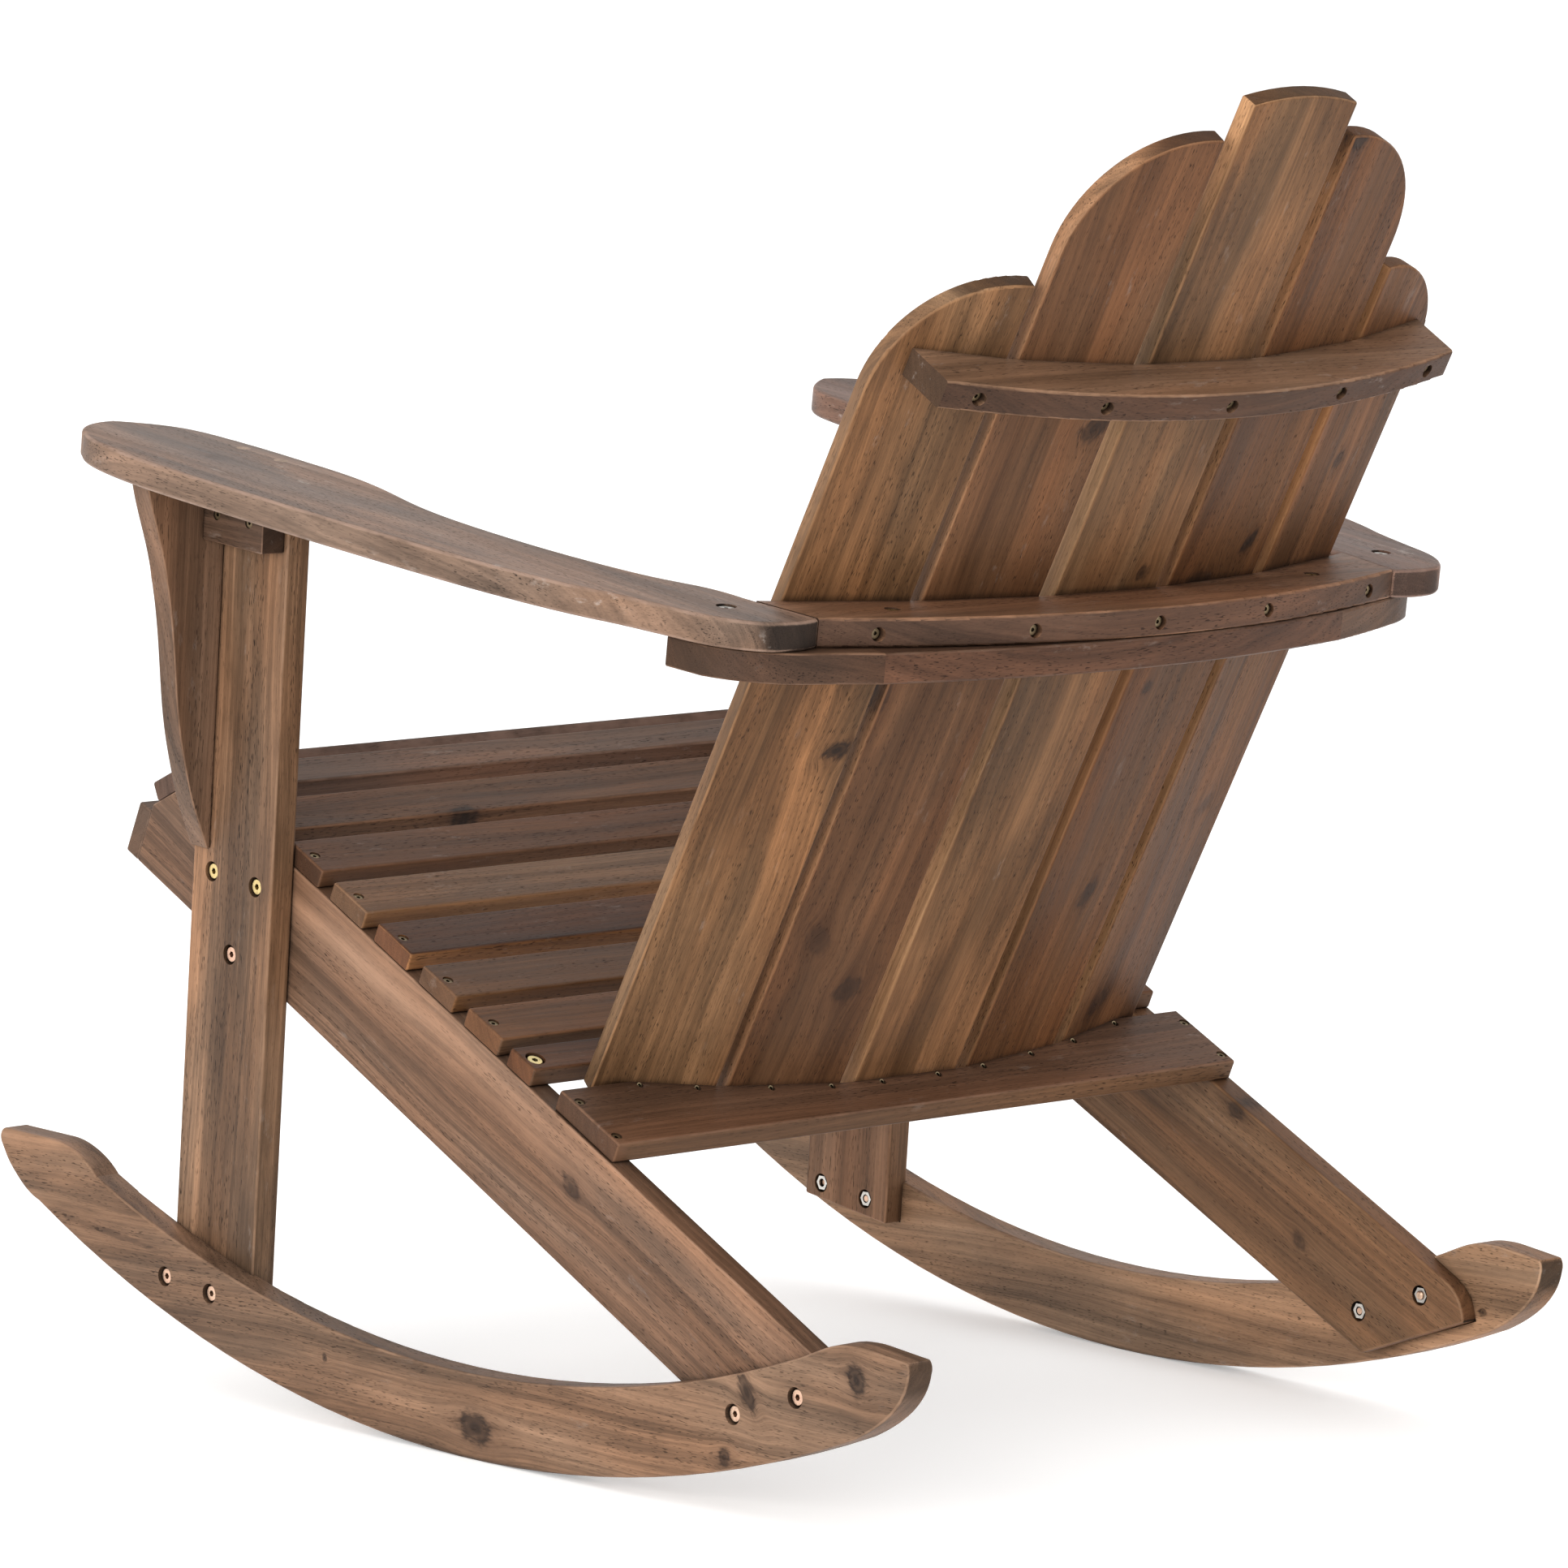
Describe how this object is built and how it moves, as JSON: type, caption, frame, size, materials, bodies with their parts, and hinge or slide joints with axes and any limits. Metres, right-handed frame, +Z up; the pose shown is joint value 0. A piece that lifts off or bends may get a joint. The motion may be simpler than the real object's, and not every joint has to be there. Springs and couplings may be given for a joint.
{
  "type": "rocking adirondack chair",
  "caption": "Slatted wooden adirondack armchair on curved rockers, with a tall stepped slat back, a sloping slat seat and broad arms.",
  "frame": {"origin": "bottom centre of the chair's bounding box, on the floor, standing at rest on its rockers", "axes": "+Z up, +Y to the rear of the chair, +X to the sitter's left"},
  "size_m": [0.769, 0.9851, 0.9123],
  "materials": {
    "stained_wood": "oiled brown stain, satin",
    "yellow_zinc": "yellow zinc plate",
    "bright_zinc": "zinc plate",
    "dark_screw": "tarnished zinc"
  },
  "bodies": {
    "root": {"apron_screws": "dark_screw", "arm_bracket_left": "stained_wood", "arm_bracket_right": "stained_wood", "arm_cleat_left": "stained_wood", "arm_cleat_right": "stained_wood", "arm_left": "stained_wood", "arm_leg_screws": "dark_screw", "arm_plugs": "stained_wood", "arm_rear_screws": "dark_screw", "arm_right": "stained_wood", "arm_support_end_left": "stained_wood", "arm_support_end_right": "stained_wood", "arm_support_rail": "stained_wood", "back_slat_1": "stained_wood", "back_slat_2": "stained_wood", "back_slat_3": "stained_wood", "back_slat_4": "stained_wood", "back_slat_5": "stained_wood", "bottom_back_rail": "stained_wood", "bottom_rail_screws": "dark_screw", "bracket_screws": "dark_screw", "cleat_screws": "dark_screw", "front_apron": "stained_wood", "front_leg_left": "stained_wood", "front_leg_right": "stained_wood", "leg_bolt_nuts": "bright_zinc", "leg_bolts": "yellow_zinc", "middle_back_rail": "stained_wood", "middle_rail_screws": "dark_screw", "middle_rail_top_screws": "dark_screw", "nose_slat_screws": "dark_screw", "rear_seat_rail": "stained_wood", "rear_seat_rail_bolts": "yellow_zinc", "rocker_front_bolts": "yellow_zinc", "rocker_front_nuts": "bright_zinc", "rocker_left": "stained_wood", "rocker_rear_bolts": "yellow_zinc", "rocker_rear_nuts": "bright_zinc", "rocker_right": "stained_wood", "seat_nose_slat": "stained_wood", "seat_rail_left": "stained_wood", "seat_rail_right": "stained_wood", "seat_slat_1": "stained_wood", "seat_slat_2": "stained_wood", "seat_slat_3": "stained_wood", "seat_slat_4": "stained_wood", "seat_slat_5": "stained_wood", "seat_slat_6": "stained_wood", "seat_slat_7": "stained_wood", "seat_slat_screws": "dark_screw", "slat_foot_screws": "dark_screw", "top_back_rail": "stained_wood", "top_rail_screws": "dark_screw"}
  },
  "joints": []
}
